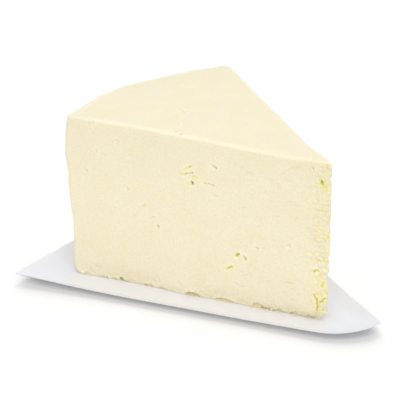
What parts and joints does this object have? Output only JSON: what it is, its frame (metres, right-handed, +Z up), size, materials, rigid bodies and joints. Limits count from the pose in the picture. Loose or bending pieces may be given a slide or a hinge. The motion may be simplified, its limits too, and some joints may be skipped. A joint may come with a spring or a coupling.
{
  "type": "cheese wedge",
  "caption": "Wedge of crumbly white pressed cheese cut from a small wheel, with two flat cut faces and a curved rim, lying on a fan-shaped sheet of white food paper.",
  "frame": {"origin": "middle of the base of the whole, on the surface that the paper sheet lies on", "axes": "+Z up; +X from the rim towards the tip of the wedge, along the line that halves it; the first cut face looks towards -Y and the second towards +Y"},
  "size_m": [0.1582, 0.1382, 0.076],
  "materials": {
    "cheese": "moist pale ivory curd, matt, slightly translucent, deeper yellow in its openings",
    "paper": "smooth white food paper, matt"
  },
  "bodies": {
    "root": {"cheese": "cheese", "paper_sheet": "paper"}
  },
  "joints": []
}
